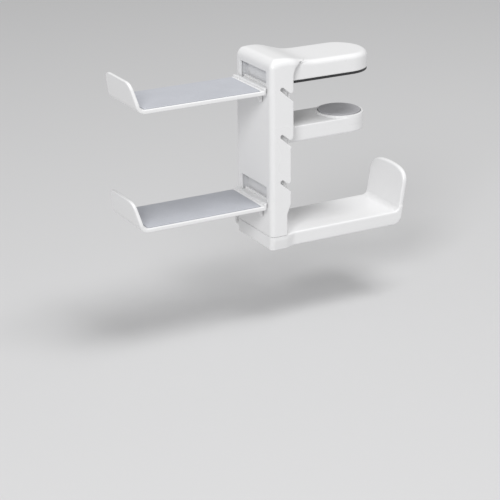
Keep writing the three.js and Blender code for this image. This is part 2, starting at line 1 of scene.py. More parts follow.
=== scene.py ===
"""A white post with a top arm, a sprung clamp jaw, two trays and a headphone hook.

The pieces are written in millimetres: x = 0 is the mid-plane, y = 0 the post's front face and
z = 0 the underside of the hook. The arm, jaw and hook reach towards +y, the trays towards -y.
ORIGIN then moves them to the row frame, in metres.
"""
import math
from itertools import product

import bpy
import numpy as np
from mathutils import Matrix, Vector


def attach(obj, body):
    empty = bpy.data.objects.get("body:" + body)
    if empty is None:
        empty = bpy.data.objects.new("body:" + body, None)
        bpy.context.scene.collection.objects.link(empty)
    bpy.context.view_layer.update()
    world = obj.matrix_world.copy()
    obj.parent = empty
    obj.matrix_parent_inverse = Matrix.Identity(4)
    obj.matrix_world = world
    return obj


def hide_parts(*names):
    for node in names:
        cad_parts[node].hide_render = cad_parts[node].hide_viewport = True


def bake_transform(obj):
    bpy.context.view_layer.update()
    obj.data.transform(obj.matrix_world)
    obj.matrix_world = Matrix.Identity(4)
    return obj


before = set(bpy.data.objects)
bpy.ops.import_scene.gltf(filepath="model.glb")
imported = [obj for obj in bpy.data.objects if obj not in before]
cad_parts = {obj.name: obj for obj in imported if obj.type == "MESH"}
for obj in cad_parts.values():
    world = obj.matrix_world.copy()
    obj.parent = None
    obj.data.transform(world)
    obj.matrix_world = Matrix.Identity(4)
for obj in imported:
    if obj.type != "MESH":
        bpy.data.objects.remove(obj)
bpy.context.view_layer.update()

ORIGIN = np.array([0.0, -53.0, -118.0])
COARSE = 1.0  # grid cell multiplier


# ------------------------------------------------------------------ distance fields
# Every field is negative inside the solid.
def meet(first, second, radius):
    """Inside both, with a convex edge of the given radius between them."""
    u = np.maximum(first + radius, 0.0)
    v = np.maximum(second + radius, 0.0)
    return np.minimum(np.maximum(first, second), -radius) + np.sqrt(u * u + v * v)


def join(first, second, radius):
    """Inside either, with a fillet of the given radius between them."""
    return -meet(-first, -second, radius)


def carve(body, tool, radius):
    """The body less the tool, with a rounded rim."""
    return meet(body, -tool, radius)


def drill(body, tool):
    """The body less the tool, with a sharp rim."""
    return np.maximum(body, -tool)


def soft_join(first, second, reach):
    near = np.maximum(reach - np.abs(first - second), 0.0) / reach
    return np.minimum(first, second) - near * near * reach * 0.25


def rectangle(x, y, mid_x, mid_y, half_x, half_y, radius):
    over_x = np.abs(x - mid_x) - half_x + radius
    over_y = np.abs(y - mid_y) - half_y + radius
    outside = np.sqrt(np.maximum(over_x, 0) ** 2 + np.maximum(over_y, 0) ** 2)
    return outside + np.minimum(np.maximum(over_x, over_y), 0) - radius


def block(x, y, z, x_range, y_range, z_range, radius):
    """A box between two limits on each axis, with rounded edges."""
    over = [np.abs(t - (low + high) / 2) - (high - low) / 2 + radius
            for t, (low, high) in ((x, x_range), (y, y_range), (z, z_range))]
    outside = np.sqrt(np.maximum(over[0], 0) ** 2 + np.maximum(over[1], 0) ** 2
                      + np.maximum(over[2], 0) ** 2)
    return outside + np.minimum(np.maximum(np.maximum(over[0], over[1]), over[2]), 0) - radius


def tongue(x, y, half_width, start, tip):
    """A strip along y from start, with a round end at tip."""
    centre = tip - half_width
    sides = np.where(y < centre, np.abs(x) - half_width,
                     np.sqrt(x * x + (y - centre) ** 2) - half_width)
    return np.maximum(sides, start - y)


def disc(x, y, mid_x, mid_y, radius):
    return np.sqrt((x - mid_x) ** 2 + (y - mid_y) ** 2) - radius


def between(t, low, high):
    return np.maximum(low - t, t - high)


def capsule(x, y, start, end, radius):
    """A line from start to end, thickened by radius."""
    run_x, run_y = end[0] - start[0], end[1] - start[1]
    along = (x - start[0]) * run_x + (y - start[1]) * run_y
    t = np.clip(along / (run_x * run_x + run_y * run_y), 0, 1)
    return np.sqrt((x - start[0] - t * run_x) ** 2 + (y - start[1] - t * run_y) ** 2) - radius


def polygon(x, y, outline):
    """Signed distance to a closed outline."""
    x, y = np.broadcast_arrays(x, y)
    square = np.full(x.shape, 1e9)
    inside = np.zeros(x.shape, bool)
    for i, (start_x, start_y) in enumerate(outline):
        end_x, end_y = outline[(i + 1) % len(outline)]
        run_x, run_y = end_x - start_x, end_y - start_y
        off_x, off_y = x - start_x, y - start_y
        t = np.clip((off_x * run_x + off_y * run_y) / (run_x * run_x + run_y * run_y), 0, 1)
        square = np.minimum(square, (off_x - t * run_x) ** 2 + (off_y - t * run_y) ** 2)
        if start_y != end_y:
            inside ^= (((start_y > y) != (end_y > y))
                       & (x < run_x * (y - start_y) / run_y + start_x))
    return np.where(inside, -np.sqrt(square), np.sqrt(square))


def ribs(x, y, z, rows, half_thick, bottom):
    """One rib along y and one across at each row, above the bottom height."""
    web = np.maximum(np.abs(x) - half_thick, bottom - z)
    for row in rows:
        web = np.minimum(web, np.maximum(np.abs(y - row) - half_thick, bottom - z))
    return web


class Curve:
    """A value against t from (t, value) points, blurred by a Gaussian, with its slope."""

    STEP = 0.05

    def __init__(self, points, blur):
        table = np.array(points, float)
        self.t = np.arange(table[0, 0], table[-1, 0] + self.STEP, self.STEP)
        value = np.interp(self.t, table[:, 0], table[:, 1])
        reach = max(1, int(round(3 * blur / self.STEP)))
        kernel = np.exp(-0.5 * (np.arange(-reach, reach + 1) * self.STEP / blur) ** 2)
        padded = np.pad(value, reach, mode="edge")
        self.value = np.convolve(padded, kernel / kernel.sum(), mode="valid")
        self.slope = np.gradient(self.value, self.STEP)

    def __call__(self, t):
        return np.interp(t, self.t, self.value)

    def below(self, t, value):
        """Distance-like, negative where value is under the curve."""
        slope = np.interp(t, self.t, self.slope)
        return (value - self(t)) / np.sqrt(1 + slope * slope)


def spline(points, count):
    """Catmull-Rom through the points, with count steps a span."""
    p = np.array(points, float)
    p = np.vstack([2 * p[0] - p[1], p, 2 * p[-1] - p[-2]])
    out = []
    for i in range(1, len(p) - 2):
        for t in np.arange(count) / count:
            out.append(0.5 * (2 * p[i] + (p[i + 1] - p[i - 1]) * t
                              + (2 * p[i - 1] - 5 * p[i] + 4 * p[i + 1] - p[i + 2]) * t * t
                              + (3 * p[i] - p[i - 1] - 3 * p[i + 1] + p[i + 2]) * t ** 3))
    out.append(p[-2])
    return np.array(out)


# ------------------------------------------------------------------ meshing
def surface_net(field, low, high, cell):
    """Closed quad mesh of field = 0 on a cubic grid, its points drawn onto the surface."""
    margin = 2.3 * cell
    low = np.array(low, float) - margin
    count = np.ceil((np.array(high, float) + margin - low) / cell).astype(int) + 1
    axes = [low[i] + cell * np.arange(count[i]) for i in range(3)]
    values = field(axes[0][:, None, None], axes[1][None, :, None], axes[2][None, None, :])
    values = np.ascontiguousarray(np.broadcast_to(values, tuple(count))).astype(np.float32)
    values[values == 0] = 1e-6
    inside = values < 0
    corners = [inside[i:count[0] - 1 + i, j:count[1] - 1 + j, k:count[2] - 1 + k]
               for i, j, k in product((0, 1), repeat=3)]
    crossed = np.logical_or.reduce(corners) & ~np.logical_and.reduce(corners)
    cells = np.nonzero(crossed)
    index = np.full(crossed.shape, -1, np.int64)
    index[cells] = np.arange(len(cells[0]))

    # one point a cell: the mean of where the surface crosses the cell's edges
    total = np.zeros((len(cells[0]), 3))
    hits = np.zeros(len(cells[0]))
    corner = {(i, j, k): values[cells[0] + i, cells[1] + j, cells[2] + k].astype(float)
              for i, j, k in product((0, 1), repeat=3)}
    for axis in range(3):
        others = [i for i in range(3) if i != axis]
        for sides in product((0, 1), repeat=2):
            near = [0, 0, 0]
            near[others[0]], near[others[1]] = sides
            far = list(near)
            far[axis] = 1
            start, end = corner[tuple(near)], corner[tuple(far)]
            crosses = (start < 0) != (end < 0)
            crossing = np.zeros_like(total)
            crossing[:] = near
            crossing[:, axis] = np.where(crosses, start / np.where(crosses, start - end, 1), 0)
            total += crossing * crosses[:, None]
            hits += crosses
    points = (total / hits[:, None] + np.stack(cells, 1)) * cell + low

    # one quad for every grid edge that crosses the surface
    quads = []
    for axis in range(3):
        turn, next_turn = (axis + 1) % 3, (axis + 2) % 3
        start_slice = [slice(1, -1)] * 3
        end_slice = [slice(1, -1)] * 3
        start_slice[axis], end_slice[axis] = slice(0, -1), slice(1, None)
        start, end = inside[tuple(start_slice)], inside[tuple(end_slice)]
        edges = np.nonzero(start != end)
        grid = [edges[i] + (0 if i == axis else 1) for i in range(3)]
        flip = ~start[edges]
        ring = []
        for step, next_step in ((-1, -1), (0, -1), (0, 0), (-1, 0)):
            around = list(grid)
            around[turn] = around[turn] + step
            around[next_turn] = around[next_turn] + next_step
            ring.append(index[tuple(around)])
        ring = np.stack(ring, 1)
        ring[flip] = ring[flip][:, ::-1]
        quads.append(ring)
    return settle(field, points, cell, rounds=3), np.concatenate(quads)


def gradient(field, points, step=0.04):
    result = np.zeros_like(points)
    for i in range(3):
        shift = np.zeros(3)
        shift[i] = step
        result[:, i] = (field(*(points + shift).T) - field(*(points - shift).T)) / (2 * step)
    return result


def settle(field, points, cell, rounds):
    """Moves points onto the surface, no further than 0.75 of a cell."""
    start = points.copy()
    for _ in range(rounds):
        slope = gradient(field, points)
        value = field(*points.T)
        points = points - slope * (value / np.maximum((slope * slope).sum(1), 0.2))[:, None]
        move = points - start
        far = np.sqrt((move * move).sum(1))
        points = start + move * np.minimum(1, 0.75 * cell / np.maximum(far, 1e-9))[:, None]
    return points


def to_row(points):
    """Construction millimetres to row-frame metres."""
    return (points + ORIGIN) / 1000


def smooth(mesh):
    mesh.polygons.foreach_set("use_smooth", np.ones(len(mesh.polygons), bool))


def quad_mesh(name, points, faces):
    mesh = bpy.data.meshes.new(name)
    mesh.vertices.add(len(points))
    mesh.vertices.foreach_set("co", points.astype(np.float32).ravel())
    mesh.loops.add(faces.size)
    mesh.loops.foreach_set("vertex_index", faces.astype(np.int32).ravel())
    mesh.polygons.add(len(faces))
    mesh.polygons.foreach_set("loop_start", (np.arange(len(faces)) * 4).astype(np.int32))
    mesh.update(calc_edges=True)
    mesh.validate()
    smooth(mesh)
    return mesh


def add_object(name, data):
    item = bpy.data.objects.new(name, data)
    bpy.context.scene.collection.objects.link(item)
    return item


def model(name, field, low, high, cell, keep, slot, place=None, shift=(0, 0, 0)):
    """A piece from its field: a grid mesh thinned to keep, with normals taken from the field.

    shift, or place (a 4x4 matrix), moves the finished piece in construction millimetres.
    """
    item = add_object(name, quad_mesh(name, *surface_net(field, low, high, cell * COARSE)))
    item.data.materials.append(MATERIALS[slot])
    thin = item.modifiers.new("thin", "DECIMATE")
    thin.ratio = keep
    thin.use_collapse_triangulate = True
    graph = bpy.context.evaluated_depsgraph_get()
    mesh = bpy.data.meshes.new_from_object(item.evaluated_get(graph), depsgraph=graph)
    item.modifiers.clear()
    dense = item.data
    item.data = mesh
    bpy.data.meshes.remove(dense)
    mesh.name = name

    points = np.zeros(len(mesh.vertices) * 3, np.float32)
    mesh.vertices.foreach_get("co", points)
    points = settle(field, points.reshape(-1, 3).astype(float), cell, rounds=2)
    normals = gradient(field, points, step=0.09)
    normals /= np.maximum(np.sqrt((normals * normals).sum(1)), 1e-9)[:, None]
    points = points + np.array(shift)
    if place is not None:
        matrix = np.array(place, float)
        points = points @ matrix[:3, :3].T + matrix[:3, 3]
        normals = normals @ matrix[:3, :3].T
    mesh.vertices.foreach_set("co", to_row(points).astype(np.float32).ravel())
    mesh.update()
    smooth(mesh)
    mesh.normals_split_custom_set_from_vertices([tuple(n) for n in normals.tolist()])
    return item


def plain(name, points, faces, slot, at):
    """A piece from given points, moved by at."""
    mesh = bpy.data.meshes.new(name)
    mesh.from_pydata(to_row(np.array(points) + np.array(at)).tolist(), [], faces)
    mesh.validate()
    smooth(mesh)
    item = add_object(name, mesh)
    mesh.materials.append(MATERIALS[slot])
    return item


# ------------------------------------------------------------------ materials
class Shader:
    """A new material and the nodes around its Principled BSDF.

    Node inputs are given by label, with _ for a space, as a value or a socket to link.
    """

    def __init__(self, name):
        self.material = bpy.data.materials.new(name)
        self.material.use_nodes = True
        self.tree = self.material.node_tree
        self.surface = self.tree.nodes["Principled BSDF"]

    def wire(self, node, **inputs):
        for label, value in inputs.items():
            socket = node.inputs[label.replace("_", " ")]
            if isinstance(value, bpy.types.NodeSocket):
                self.tree.links.new(value, socket)
            else:
                socket.default_value = value

    def add(self, kind, **inputs):
        node = self.tree.nodes.new(kind)
        self.wire(node, **inputs)
        return node

    def coords(self, stretch=None):
        out = self.add("ShaderNodeTexCoord").outputs["Object"]
        if stretch:
            out = self.add("ShaderNodeMapping", Scale=stretch, Vector=out).outputs["Vector"]
        return out

    def noise(self, **inputs):
        return self.add("ShaderNodeTexNoise", **inputs).outputs["Fac"]

    def bump(self, **inputs):
        return self.add("ShaderNodeBump", **inputs).outputs["Normal"]

    def remap(self, value, source, to=(0.0, 1.0)):
        return self.add("ShaderNodeMapRange", Value=value, From_Min=source[0],
                        From_Max=source[1], To_Min=to[0], To_Max=to[1]).outputs["Result"]

    def mix(self, factor, first, second):
        """Blends colours; first may be a socket."""
        node = self.add("ShaderNodeMix")
        node.data_type = "RGBA"
        if isinstance(first, tuple):
            node.inputs[6].default_value = (*first, 1)
        else:
            self.tree.links.new(first, node.inputs[6])
        node.inputs[7].default_value = (*second, 1)
        self.tree.links.new(factor, node.inputs[0])
        return node.outputs[2]


def darker(colour, factor):
    return tuple(c * factor for c in colour)


def moulded(name, colour, rough, grain=0.25, coat=0.0):
    """Injection-moulded plastic: very fine spark grain, faint flow lines and uneven gloss."""
    s = Shader(name)
    where = s.coords()
    cloud = s.noise(Vector=where, Scale=18, Detail=2)
    fine = s.noise(Vector=where, Scale=2600, Detail=2)
    peel = s.noise(Vector=where, Scale=420, Detail=3)
    flow = s.noise(Vector=s.coords(stretch=(30, 6, 30)), Scale=3.0, Detail=3)
    base = s.mix(s.remap(cloud, source=(0.2, 0.8)), colour, darker(colour, 0.982))
    flow_lines = s.remap(flow, source=(0.3, 0.9), to=(0.0, 0.3))
    base = s.mix(flow_lines, base, darker(colour, 0.975))
    gloss = s.remap(cloud, source=(0.2, 0.8), to=(rough - 0.05, rough + 0.05))
    normal = s.bump(Height=peel, Strength=0.10, Distance=0.00004)
    normal = s.bump(Height=fine, Strength=grain, Distance=0.000012, Normal=normal)
    s.wire(s.surface, Base_Color=base, Roughness=gloss, Normal=normal, IOR=1.5)
    if coat:
        s.wire(s.surface, Coat_Weight=coat, Coat_Roughness=0.12)
    return s.material


def rubbery(name, colour, rough, cell, depth):
    """Matt elastomer: pebbled skin, dust-fine speckle and uneven sheen.

    cell is the scale of the pebbles and depth their height.
    """
    s = Shader(name)
    where = s.coords()
    cloud = s.noise(Vector=where, Scale=45, Detail=4)
    pebbles = s.add("ShaderNodeTexVoronoi", Scale=cell, Vector=where).outputs["Distance"]
    dots = s.noise(Vector=where, Scale=cell * 1.6, Detail=2)
    base = s.mix(s.remap(cloud, source=(0.3, 0.7)), colour, darker(colour, 0.93))
    speckle = s.remap(dots, source=(0.5, 0.72), to=(0.0, 0.4))
    base = s.mix(speckle, base, darker(colour, 0.72))
    gloss = s.remap(cloud, source=(0.3, 0.7), to=(rough - 0.07, rough + 0.07))
    normal = s.bump(Height=pebbles, Strength=0.45, Distance=depth)
    swell = s.noise(Vector=where, Scale=240, Detail=3)
    normal = s.bump(Height=swell, Strength=0.12, Distance=0.0001, Normal=normal)
    s.wire(s.surface, Base_Color=base, Roughness=gloss, Normal=normal,
           Sheen_Weight=0.12, Sheen_Roughness=0.6)
    return s.material


def metal(name, colour, rough, stretch):
    """Drawn, plated steel: fine lines along the stretch and a cloudy plating."""
    s = Shader(name)
    lines = s.noise(Vector=s.coords(stretch), Scale=1.0, Detail=4, Roughness=0.6)
    cloud = s.noise(Vector=s.coords(), Scale=160, Detail=4)
    base = s.mix(s.remap(cloud, source=(0.3, 0.7)), colour, darker(colour, 0.84))
    gloss = s.remap(lines, source=(0.3, 0.7), to=(rough - 0.06, rough + 0.1))
    normal = s.bump(Height=lines, Strength=0.2, Distance=0.00001)
    s.wire(s.surface, Base_Color=base, Metallic=1.0, Roughness=gloss, Normal=normal)
    return s.material


SHELL = (0.86, 0.86, 0.865)
MATERIALS = {  # by slot
    "white_shell": moulded("white_shell", colour=SHELL, rough=0.30, coat=0.15),
    "white_tray": moulded("white_tray", colour=SHELL, rough=0.33, coat=0.1),
    "inner_plastic": moulded("inner_plastic", colour=(0.79, 0.795, 0.81), rough=0.48, grain=0.5),
    "tray_mat": rubbery("tray_mat", colour=(0.50, 0.515, 0.56), rough=0.62,
                        cell=1500, depth=0.00006),
    "grey_rubber": rubbery("grey_rubber", colour=(0.44, 0.44, 0.46), rough=0.78,
                           cell=1100, depth=0.0001),
    # near-black colour is painted shadow: it stands in for the shade in the gap under the arm,
    # over a pad that is really grey
    "dark_rubber": rubbery("dark_rubber", colour=(0.018, 0.018, 0.021), rough=0.72,
                           cell=1300, depth=0.00006),
    "steel": metal("steel", colour=(0.62, 0.63, 0.65), rough=0.27, stretch=(2400, 2400, 60)),
}

# ------------------------------------------------------------------ shared dimensions
HALF_WIDTH = 25.75                              # of the post
TOP_DEPTH, LOW_DEPTH, BASE_DEPTH = 18.0, 16.0, 13.1  # of the post, going down
POST_ROUND = 3.6                                # the post's upright front edges
ARM_HALF, ARM_TIP = 20.7, 89.3
ARM_UNDER = 119.8
PITCH = 83.0                                    # upper tray and pocket to lower ones
WINDOW_Z = (121.4, 121.4 - PITCH)
TRAY_Z = 113.2
TRAY_HALF = 22.8
TRAY_MID_Y = -49.05
PILOT, CLEARANCE = 1.35, 1.5                    # screw hole radii
BOSS_X = 20.3
COVER_BOSSES = ((60.0, LOW_DEPTH), (96.0, TOP_DEPTH))  # height, post depth there
PLATE_SCREW_Y = (34.0, 76.0)
HOOK_SCREW_X, HOOK_SCREW_Y = 15.0, 6.5
JAW_SCREW_X, JAW_SCREW_Z = 6.0, 80.4
JAW_PAD_Y = 70.0
ROD_X, ROD_Y = 12.0, 10.8

# top surface: y, height
CROWN = Curve([[-20, 137.4], [10, 137.4], [13, 137.3], [16, 136.95], [21, 135.8],
               [26, 134.35], [31, 133.1], [36, 132.4], [42, 132.2], [110, 132.2]], 1.6)
# back of the post: z, depth
REAR = Curve([[-10, BASE_DEPTH], [25.3, BASE_DEPTH], [33, LOW_DEPTH], [72.8, LOW_DEPTH],
              [76, TOP_DEPTH], [124.4, TOP_DEPTH], [127.1, 18.5], [129.3, 19.6],
              [130.9, 21.2], [131.9, 23.6], [132.5, 27], [132.8, 32], [133.0, 40],
              [160, 42]], 0.3)
# post narrowing into the arm: y, half width
HALF = Curve([[-20, HALF_WIDTH], [18, HALF_WIDTH], [20.4, 25.1], [22.8, 23.9], [25.6, 22.4],
              [28.6, 21.35], [32, ARM_HALF], [110, ARM_HALF]], 0.9)
# edge radius round the top surface: y, radius
TOP_ROUND = Curve([[-20, 7.0], [2.0, 7.0], [8, 5.2], [19, 4.6], [30, 3.6], [76, 3.6],
                   [82, 4.4], [91, 5.2]], 0.8)
# roof of the arm's hollow: y, height
CAVITY = Curve([[-20, 129.8], [71, 129.8], [76, 129.0], [81, 127.0], [84.6, 124.6],
                [86.4, 122.4], [110, 122.4]], 0.4)
# inner face of the rear cover: z, depth
COVER_FACE = Curve([[-10, 10.7], [28, 10.7], [36, 14.2], [160, 14.2]], 0.3)


# ------------------------------------------------------------------ sloping side slots
def slot_outline(mid_z, depth):
    """(y, z) of a neck sloping down to the back; the tooth above ends in a round nose."""
    tilt, end_radius, nose_radius = 41, 1.4, 2.2
    cosine, slope = math.cos(math.radians(tilt)), -math.tan(math.radians(tilt))
    end_y, end_z = 8.9, mid_z + 0.3
    nose_y = depth - nose_radius
    nose_z = end_z + (end_radius + nose_radius) / cosine + slope * (nose_y - end_y)
    out_y = depth + 4

    def around(mid_y, mid_z, radius, degrees):
        angle = math.radians(degrees)
        return [mid_y + radius * math.cos(angle), mid_z + radius * math.sin(angle)]

    side = 90 - tilt
    outline = [around(end_y, end_z, end_radius, side + 180 * i / 14) for i in range(15)]
    outline += [[out_y, end_z - end_radius / cosine + slope * (out_y - end_y)],
                [out_y, nose_z], [depth, nose_z]]
    outline += [around(nose_y, nose_z, nose_radius, (side - 180) * i / 12)
                for i in range(1, 13)]
    return outline


SLOTS = [slot_outline(116.0, TOP_DEPTH), slot_outline(82.4, TOP_DEPTH - 0.4),
         slot_outline(49.4, LOW_DEPTH)]


def side_slots(abs_x, y, z):
    slots = np.minimum.reduce([polygon(y, z, outline) for outline in SLOTS])
    return np.maximum(slots, 20.0 - abs_x)


# ------------------------------------------------------------------ fields of the frame pieces
def housing(x, y, z):
    abs_x = np.abs(x)
    post = meet(abs_x - HALF(y), REAR.below(z, y), 0.8)
    post = np.maximum(post, meet(abs_x - HALF_WIDTH, -y, POST_ROUND))
    arm = meet(tongue(x, y, ARM_HALF, 10.0, ARM_TIP), ARM_UNDER - z, 0.7)
    reach = 0.5 + 2.6 * np.clip((z - 122.0) / 7.0, 0, 1)  # softer towards the top
    body = meet(CROWN.below(y, z), soft_join(post, arm, reach), TOP_ROUND(y))
    body = meet(body, 10.04 - z, 0.14)

    # hollows: open-backed post, its upper part, and the arm
    walls = meet(abs_x - 23.55, 2.2 - y, 2.0)
    room = np.maximum(walls, z - 119.4)
    high = np.maximum(np.maximum(walls, y - 15.8), z - 131.2)
    wall = 2.4
    in_arm = np.maximum(tongue(x, y, ARM_HALF - wall, 4.2, ARM_TIP - wall), CAVITY.below(y, z))
    body = carve(body, np.minimum(np.minimum(room, high), in_arm), 0.35)

    # front windows, each with two small round notches at its lower edge
    for mid_z in WINDOW_Z:
        body = carve(body, np.maximum(rectangle(x, z, 0, mid_z, 18.5, 7.1, 0.8), y - 4.0), 0.45)
        notch = disc(abs_x, z, 12.0, mid_z - 9.7, 0.9)
        body = carve(body, np.maximum(notch, y - 4.0), 0.25)
    body = carve(body, side_slots(abs_x, y, z), 0.35)

    # screw bosses for the cover, the hook and the underplate
    for mid_z, _ in COVER_BOSSES:
        boss = np.maximum(disc(abs_x, z, BOSS_X, mid_z, 2.6), between(y, 1.2, 13.7))
        body = join(body, boss, 0.5)
        body = drill(body, np.maximum(disc(abs_x, z, BOSS_X, mid_z, PILOT), 5.4 - y))
    boss_z = (10.15, 22.0)
    boss = np.maximum(disc(abs_x, y, HOOK_SCREW_X, HOOK_SCREW_Y, 3.0), between(z, *boss_z))
    web = block(abs_x, y, z, (12.4, 17.6), (1.2, HOOK_SCREW_Y), boss_z, 0.2)
    body = join(body, np.minimum(boss, web), 0.4)
    hole = disc(abs_x, y, HOOK_SCREW_X, HOOK_SCREW_Y, PILOT)
    body = drill(body, np.maximum(hole, between(z, 9.0, 20.0)))
    for mid_y in PLATE_SCREW_Y:
        boss = np.maximum(disc(x, y, 0, mid_y, 3.0), between(z, 122.2, 130.6))
        body = join(body, boss, 0.5)
        hole = disc(x, y, 0, mid_y, PILOT)
        body = drill(body, np.maximum(hole, between(z, 121.0, 129.0)))
    return body


def rear_cover(x, y, z):
    abs_x = np.abs(x)
    panel = np.maximum(REAR.below(z, y), -COVER_FACE.below(z, y))
    body = meet(panel, abs_x - 23.25, 0.4)
    body = meet(body, between(z, 10.5, 119.0), 0.4)
    body = carve(body, rectangle(x, z, 0, 79.9, 14.6, 18.3, 1.2), 0.5)  # opening for the jaw
    body = carve(body, side_slots(abs_x, y, z), 0.3)
    flange = block(abs_x, y, z, (20.42, 21.9), (7.8, 14.8), (36.5, 118.1), 0.3)
    body = join(body, flange, 0.2)
    for mid_z, depth in COVER_BOSSES:
        socket = np.maximum(disc(abs_x, z, BOSS_X, mid_z, 2.95), y - 13.95)
        body = carve(body, socket, 0.15)
        body = carve(body, disc(abs_x, z, BOSS_X, mid_z, CLEARANCE), 0.1)
        head = np.maximum(disc(abs_x, z, BOSS_X, mid_z, 2.5), depth - 1.9 - y)
        body = carve(body, head, 0.25)
    return body


def underplate(x, y, z):
    plan = tongue(x, y, ARM_HALF - 2.7, 16.3, ARM_TIP - 2.7)
    body = meet(plan, between(z, ARM_UNDER, 121.8), 0.3)
    for mid_y in PLATE_SCREW_Y:
        body = carve(body, disc(x, y, 0, mid_y, CLEARANCE), 0.1)
        body = carve(body, np.maximum(disc(x, y, 0, mid_y, 2.9), z - 120.7), 0.15)
    for start in (40.0, 62.0):  # cross ribs on its upper face
        rib = block(x, y, z, (-8, 8), (start, start + 1.6), (121.3, 127.0), 0.3)
        body = join(body, rib, 0.3)
    return body


def top_pad(x, y, z):
    plan = tongue(x, y, ARM_HALF - 0.3, 18.5, ARM_TIP - 0.3)
    return meet(plan, between(z, 118.0, 119.5), 0.35)


def pocket(x, y, z):
    """Box behind the front window, with a leaning panel cut away at its upper right."""
    body = block(x, y, z, (-20.6, 20.6), (2.45, 7.4), (108.9, 130.7), 0.4)
    body = carve(body, np.maximum(rectangle(x, z, 0, 119.7, 19.3, 10.4, 0.4), y - 6.6), 0.25)
    bottom, lean = 109.2, 0.0555
    face = (5.9 - (z - 109.3) * lean - y) / 1.0015
    panel = np.maximum(np.maximum(face, y - 6.9), between(z, bottom, 129.4))
    wide = np.maximum(panel, between(x, -14.0, 19.4))
    upright = np.maximum(np.maximum(panel, between(x, -16.6, -13.8)), 120.7 - z)
    return join(body, meet(np.minimum(wide, upright), bottom - z, 0.1), 0.25)


def rod_bracket(body_z, hole_z):
    """A bar with two blind sockets for the guide rods; each argument is a z range."""
    def field(x, y, z):
        body = meet(rectangle(x, y, 0, 10.85, 15.7, 3.05, 1.0), between(z, *body_z), 0.35)
        sockets = disc(np.abs(x), y, ROD_X, ROD_Y, 1.85)
        return carve(body, np.maximum(sockets, between(z, *hole_z)), 0.15)
    return field


# ------------------------------------------------------------------ field of the headphone hook
HOOK_HALF = Curve([[-20, HALF_WIDTH], [13.4, HALF_WIDTH], [20, 22.8], [140, 22.8]], 1.2)
# right half of the upturned end's arch: x, z
ARCH = spline([[22.8, 29], [22.55, 31.8], [21.65, 34.6], [19.8, 37.2], [16.6, 39.3],
               [12, 40.7], [6, 41.4], [0, 41.6]], 8)
ARCH_FOOT = [[28, -6], [28, 12], [22.8, 14.5], [22.8, 20]]
ARCH_OUTLINE = (ARCH_FOOT + ARCH.tolist() + (ARCH[::-1] * np.array([-1, 1])).tolist()[1:]
                + [[-a, b] for a, b in ARCH_FOOT[::-1]])
# J-shaped side hook: x, z along its centre line, and the radius of each stretch
SIDE_HOOK = [(-24.0, 4.3), (-29.8, 4.3), (-31.25, 5.8), (-31.25, 15.0), (-31.0, 15.2)]
SIDE_RADII = [1.2, 1.2, 1.2, 1.4]


def headphone_hook(x, y, z):
    abs_x = np.abs(x)
    # floor and leaning end wall
    lean = 0.156
    norm = math.sqrt(1 + lean ** 2)
    outer = (y - (111.2 + lean * (z - 7.4))) / norm
    inner = ((108.4 + 0.158 * (z - 13.2)) - y) / norm
    body = np.maximum(meet(outer, -z, 6.0), join(z - 10.2, inner, 3.2))
    body = meet(body, polygon(x, z, ARCH_OUTLINE), 1.5)
    edge = 1.3 - 0.9 * np.clip((16 - y) / 3, 0, 1)  # sharper under the post
    draft = np.clip((7.0 - z) / 6.0, 0, 1) * np.clip((20.0 - y) / 6.6, 0, 1)
    body = meet(body, abs_x - HOOK_HALF(y) + draft, edge)
    body = meet(body, -y, 1.2)
    body = np.maximum(body, meet(abs_x - HALF_WIDTH + draft, -y, POST_ROUND))
    body = carve(body, np.maximum(y - 13.25, 9.96 - z), 0.14)  # seat for the post

    # ribbed hollow, open below
    hollow = np.maximum(np.maximum(abs_x - 20.6, between(y, 17.0, 103.0)), z - 7.4)
    hollow = carve(hollow, ribs(x, y, z, (38.0, 60.0, 82.0), 0.9, 1.0), 0.3)
    body = carve(body, hollow, 0.5)

    # tongue up into the post, screw holes, side hook
    body = join(body, block(x, y, z, (-10.5, 10.5), (2.8, 9.8), (9.4, 17.0), 0.6), 0.3)
    hole = disc(abs_x, y, HOOK_SCREW_X, HOOK_SCREW_Y, CLEARANCE)
    body = drill(body, np.maximum(hole, z - 12))
    head = disc(abs_x, y, HOOK_SCREW_X, HOOK_SCREW_Y, 3.0)
    body = carve(body, np.maximum(head, z - 4), 0.3)
    side = np.minimum.reduce([
        capsule(x, z, start, end, radius)
        for start, end, radius in zip(SIDE_HOOK, SIDE_HOOK[1:], SIDE_RADII)])
    return join(body, meet(side, between(y, 1.8, 7.6), 0.8), 0.8)


# ------------------------------------------------------------------ fields of the jaw
def jaw_arm(x, y, z):
    half, tip = 17.3, 87.3
    body = meet(meet(tongue(x, y, half, 18.4, tip), z - 86.0, 0.9), 74.4 - z, 1.5)
    ring = meet(disc(x, y, 0, JAW_PAD_Y, half), between(z, 80.0, 87.2), 0.7)
    body = join(body, ring, 0.3)
    body = carve(body, np.maximum(disc(x, y, 0, JAW_PAD_Y, 15.5), 85.0 - z), 0.35)
    hollow = np.maximum(tongue(x, y, half - 2.2, 21.0, tip - 2.2), z - 83.2)
    hollow = carve(hollow, ribs(x, y, z, (34.0, 52.0, 70.0), 0.8, 76.9), 0.3)
    body = carve(body, hollow, 0.4)
    neck = block(x, y, z, (-14, 14), (13.95, 19.2), (75.4, 85.4), 0.5)
    body = join(body, neck, 0.3)
    abs_x = np.abs(x)
    boss = disc(abs_x, z, JAW_SCREW_X, JAW_SCREW_Z, 2.6)
    body = join(body, np.maximum(boss, between(y, 19.2, 24.0)), 0.3)
    hole = disc(abs_x, z, JAW_SCREW_X, JAW_SCREW_Z, PILOT)
    return drill(body, np.maximum(hole, between(y, 13.0, 22.6)))


def jaw_pad(x, y, z):
    return meet(disc(x, y, 0, JAW_PAD_Y, 15.2), between(z, 85.05, 88.0), 0.75)


